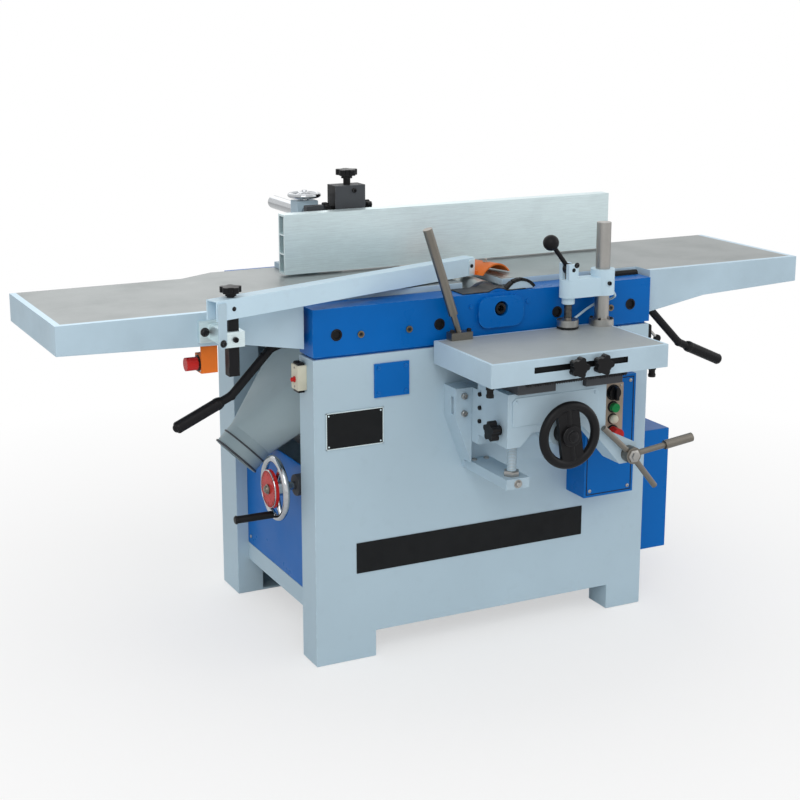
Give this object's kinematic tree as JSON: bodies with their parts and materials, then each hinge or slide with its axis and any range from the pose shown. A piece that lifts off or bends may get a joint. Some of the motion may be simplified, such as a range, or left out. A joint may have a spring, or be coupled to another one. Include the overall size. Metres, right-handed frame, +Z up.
{
  "type": "combination planer thicknesser",
  "caption": "Floor-standing planer thicknesser with long tables, fence, cutter guard, dust hood and a slot mortiser on its front.",
  "frame": {"origin": "floor level at the centre of the four anchor bolt holes in the feet", "axes": "+X along the tables to the operator's right, +Y from the operator's side to the back, +Z up"},
  "size_m": [1.96, 0.9703, 1.113],
  "materials": {
    "light_paint": "satin",
    "blue_paint": "gloss",
    "blue_casting": "gloss paint",
    "light_casting": "satin paint",
    "grey_casting": "satin paint",
    "table_iron": "ground",
    "steel": "brushed",
    "chrome": "polished",
    "black_steel": "satin",
    "black_plastic": "matte",
    "black_plate": "matte",
    "aluminium": "satin",
    "orange_plastic": "matte",
    "red_plastic": "gloss",
    "green_plastic": "gloss",
    "ivory_plastic": "matte",
    "rubber": "matte",
    "brass": "satin"
  },
  "bodies": {
    "frame": {"base_front_panel": "light_paint", "base_rear_panel": "light_paint", "cross_rails": "light_paint", "end_panels": "blue_paint", "front_plates": "black_plate", "access_cover": "blue_paint", "motor_cover": "blue_paint", "main_body": "blue_casting", "cutter_bearings": "steel", "drive_cover": "blue_paint", "motor": "grey_casting", "drive_belt": "rubber", "cheek_bolts": "brass", "limit_switch": "ivory_plastic", "lift_gearbox": "grey_casting", "control_box": "blue_paint", "switch_plate": "aluminium", "mortiser_bracket": "light_casting"},
    "outfeed_table": {"outfeed_table": "table_iron", "guard_bracket": "aluminium", "switch_box": "orange_plastic", "fence_pedestal": "light_casting"},
    "outfeed_lever": {"outfeed_lever": "black_steel"},
    "outfeed_eccentric": {"outfeed_eccentric": "steel"},
    "infeed_table": {"infeed_table": "table_iron"},
    "infeed_lever": {"infeed_lever": "black_steel"},
    "infeed_eccentric": {"infeed_eccentric": "steel"},
    "cutterblock": {"cutterblock": "steel", "cutter_knives": "steel"},
    "motor_pulley": {"motor_pulley": "steel"},
    "infeed_roller": {"infeed_roller": "steel"},
    "outfeed_roller": {"outfeed_roller": "steel"},
    "thicknesser_bed": {"thicknesser_bed": "table_iron"},
    "lift_handwheel": {"lift_handwheel": "chrome", "lift_dial": "red_plastic"},
    "dust_hood": {"dust_hood": "light_paint"},
    "fence_carriage": {"fence_bar": "chrome", "fence_carriage": "grey_casting"},
    "fence_lock_wheel": {"fence_lock_wheel": "chrome"},
    "fence_knob": {"fence_knob": "black_plastic"},
    "fence_plate": {"fence_plate": "aluminium"},
    "guard_post": {"guard_post": "black_steel"},
    "guard_beam": {"guard_beam": "light_paint", "guard_hood": "orange_plastic"},
    "guard_knob": {"guard_knob": "black_plastic"},
    "mortiser_knee": {"mortiser_knee": "light_casting"},
    "cross_slide": {"cross_slide": "light_casting"},
    "mortise_table": {"mortise_table": "table_iron", "push_rod": "steel", "clamp_column": "chrome"},
    "stop_knobs": {"stop_knobs": "black_plastic"},
    "height_handwheel": {"height_handwheel": "black_plastic"},
    "cross_lever": {"cross_lever": "black_steel"},
    "clamp_arm": {"clamp_arm": "light_paint"},
    "clamp_spindle": {"clamp_spindle": "steel"},
    "clamp_cam": {"clamp_cam": "black_steel"},
    "selector_knob": {"selector_knob": "black_plastic"},
    "start_button": {"start_button": "green_plastic"},
    "stop_button": {"stop_button": "red_plastic"},
    "left_stop_button": {"left_stop_button": "red_plastic"}
  },
  "joints": [
    {"name": "outfeed_height", "type": "slide", "parent": "frame", "child": "outfeed_table", "axis": [0, 0, 1], "range_m": [-0.0023, 0.0023]},
    {"name": "outfeed_lever_turn", "type": "hinge", "parent": "frame", "child": "outfeed_lever", "pos_m": [-0.397, -0.2, 0.794], "axis": [0, 1, 0], "range_deg": [-15, 15]},
    {"name": "outfeed_eccentric_turn", "type": "hinge", "parent": "frame", "child": "outfeed_eccentric", "pos_m": [-0.135, -0.2, 0.794], "axis": [0, 1, 0], "range_deg": [-15, 15]},
    {"name": "infeed_height", "type": "slide", "parent": "frame", "child": "infeed_table", "axis": [0, 0, 1], "range_m": [-0.0046, 0]},
    {"name": "infeed_lever_turn", "type": "hinge", "parent": "frame", "child": "infeed_lever", "pos_m": [0.397, -0.2, 0.794], "axis": [0, 1, 0], "range_deg": [-30, 0]},
    {"name": "infeed_eccentric_turn", "type": "hinge", "parent": "frame", "child": "infeed_eccentric", "pos_m": [0.185, -0.2, 0.794], "axis": [0, 1, 0], "range_deg": [-30, 0]},
    {"name": "cutter_spin", "type": "hinge", "parent": "frame", "child": "cutterblock", "pos_m": [0.025, 0, 0.818], "axis": [0, 1, 0], "continuous": true},
    {"name": "motor_spin", "type": "hinge", "parent": "frame", "child": "motor_pulley", "pos_m": [0.369, 0.2, 0.24425], "axis": [0, 1, 0], "continuous": true},
    {"name": "infeed_roller_spin", "type": "hinge", "parent": "frame", "child": "infeed_roller", "pos_m": [0.114, 0, 0.785], "axis": [0, 1, 0], "continuous": true},
    {"name": "outfeed_roller_spin", "type": "hinge", "parent": "frame", "child": "outfeed_roller", "pos_m": [-0.064, 0, 0.785], "axis": [0, 1, 0], "continuous": true},
    {"name": "bed_height", "type": "slide", "parent": "frame", "child": "thicknesser_bed", "axis": [0, 0, 1], "range_m": [-0.035, 0.05]},
    {"name": "lift_handwheel_turn", "type": "hinge", "parent": "frame", "child": "lift_handwheel", "pos_m": [-0.45, -0.175, 0.408], "axis": [1, 0, 0], "range_deg": [-1280, 1820]},
    {"name": "hood_pull", "type": "slide", "parent": "frame", "child": "dust_hood", "axis": [-1, 0, 0], "range_m": [0, 0.15]},
    {"name": "fence_slide", "type": "slide", "parent": "outfeed_table", "child": "fence_carriage", "axis": [0, 1, 0], "range_m": [-0.045, 0.026]},
    {"name": "fence_lock_turn", "type": "hinge", "parent": "outfeed_table", "child": "fence_lock_wheel", "pos_m": [-0.277, 0.144, 1.04], "axis": [0, 0, 1], "range_deg": [-180, 180]},
    {"name": "fence_knob_turn", "type": "hinge", "parent": "fence_carriage", "child": "fence_knob", "pos_m": [-0.178, 0.105, 1.07], "axis": [0, 0, 1], "range_deg": [-180, 180]},
    {"name": "fence_tilt", "type": "hinge", "parent": "fence_carriage", "child": "fence_plate", "pos_m": [-0.178, 0.068, 0.998], "axis": [-1, 0, 0], "range_deg": [0, 45]},
    {"name": "guard_lift", "type": "slide", "parent": "outfeed_table", "child": "guard_post", "axis": [0, 0, 1], "range_m": [0, 0.02]},
    {"name": "guard_swing", "type": "hinge", "parent": "guard_post", "child": "guard_beam", "pos_m": [-0.672, -0.381, 0.89], "axis": [0, 0, 1], "range_deg": [-6, 0]},
    {"name": "guard_knob_turn", "type": "hinge", "parent": "guard_post", "child": "guard_knob", "pos_m": [-0.672, -0.381, 0.92], "axis": [0, 0, 1], "range_deg": [-180, 180]},
    {"name": "knee_height", "type": "slide", "parent": "frame", "child": "mortiser_knee", "axis": [0, 0, 1], "range_m": [-0.05, 0.02]},
    {"name": "height_handwheel_turn", "type": "hinge", "parent": "mortiser_knee", "child": "height_handwheel", "pos_m": [0.056, -0.56, 0.5714], "axis": [0, 1, 0], "range_deg": [-1820, 740]},
    {"name": "mortise_depth", "type": "slide", "parent": "mortiser_knee", "child": "cross_slide", "axis": [0, 1, 0], "range_m": [-0.08, 0]},
    {"name": "mortise_traverse", "type": "slide", "parent": "cross_slide", "child": "mortise_table", "axis": [1, 0, 0], "range_m": [-0.042, 0.042]},
    {"name": "cross_lever_turn", "type": "hinge", "parent": "mortiser_knee", "child": "cross_lever", "pos_m": [0.246, -0.52, 0.4924], "axis": [0, 1, 0], "range_deg": [-61, 61]},
    {"name": "stop_knob_slide", "type": "slide", "parent": "mortise_table", "child": "stop_knobs", "axis": [1, 0, 0], "range_m": [-0.08, 0.06]},
    {"name": "clamp_arm_swing", "type": "hinge", "parent": "mortise_table", "child": "clamp_arm", "pos_m": [0.2885, -0.349, 0.86], "axis": [0, 0, 1], "range_deg": [0, 60]},
    {"name": "clamp_cam_turn", "type": "hinge", "parent": "clamp_arm", "child": "clamp_cam", "pos_m": [0.1925, -0.349, 0.904], "axis": [0, 1, 0], "range_deg": [-45, 0]},
    {"name": "clamp_spindle_slide", "type": "slide", "parent": "clamp_arm", "child": "clamp_spindle", "axis": [0, 0, 1], "range_m": [-0.0015, 0]},
    {"name": "selector_turn", "type": "hinge", "parent": "frame", "child": "selector_knob", "pos_m": [0.298, -0.4, 0.6], "axis": [0, 1, 0], "range_deg": [-45, 45]},
    {"name": "start_press", "type": "slide", "parent": "frame", "child": "start_button", "axis": [0, 1, 0], "range_m": [0, 0.0035], "stiffness_N_per_m": 600},
    {"name": "stop_press", "type": "slide", "parent": "frame", "child": "stop_button", "axis": [0, 1, 0], "range_m": [0, 0.0035], "stiffness_N_per_m": 800},
    {"name": "left_stop_press", "type": "slide", "parent": "outfeed_table", "child": "left_stop_button", "axis": [1, 0, 0], "range_m": [0, 0.0035], "stiffness_N_per_m": 800}
  ],
  "couplings": [
    {"joint": "outfeed_lever_turn", "follows": "outfeed_height", "rad_per_m": 111.11},
    {"joint": "outfeed_eccentric_turn", "follows": "outfeed_height", "rad_per_m": 111.11},
    {"joint": "infeed_lever_turn", "follows": "infeed_height", "rad_per_m": 111.11},
    {"joint": "infeed_eccentric_turn", "follows": "infeed_height", "rad_per_m": 111.11},
    {"joint": "motor_spin", "follows": "cutter_spin", "ratio": 0.7064},
    {"joint": "infeed_roller_spin", "follows": "cutter_spin", "ratio": -0.03},
    {"joint": "outfeed_roller_spin", "follows": "cutter_spin", "ratio": -0.03},
    {"joint": "lift_handwheel_turn", "follows": "bed_height", "rad_per_m": 628.32},
    {"joint": "height_handwheel_turn", "follows": "knee_height", "rad_per_m": 628.32},
    {"joint": "cross_lever_turn", "follows": "mortise_traverse", "rad_per_m": 25},
    {"joint": "clamp_spindle_slide", "follows": "clamp_cam_turn", "m_per_rad": 0.0019}
  ]
}
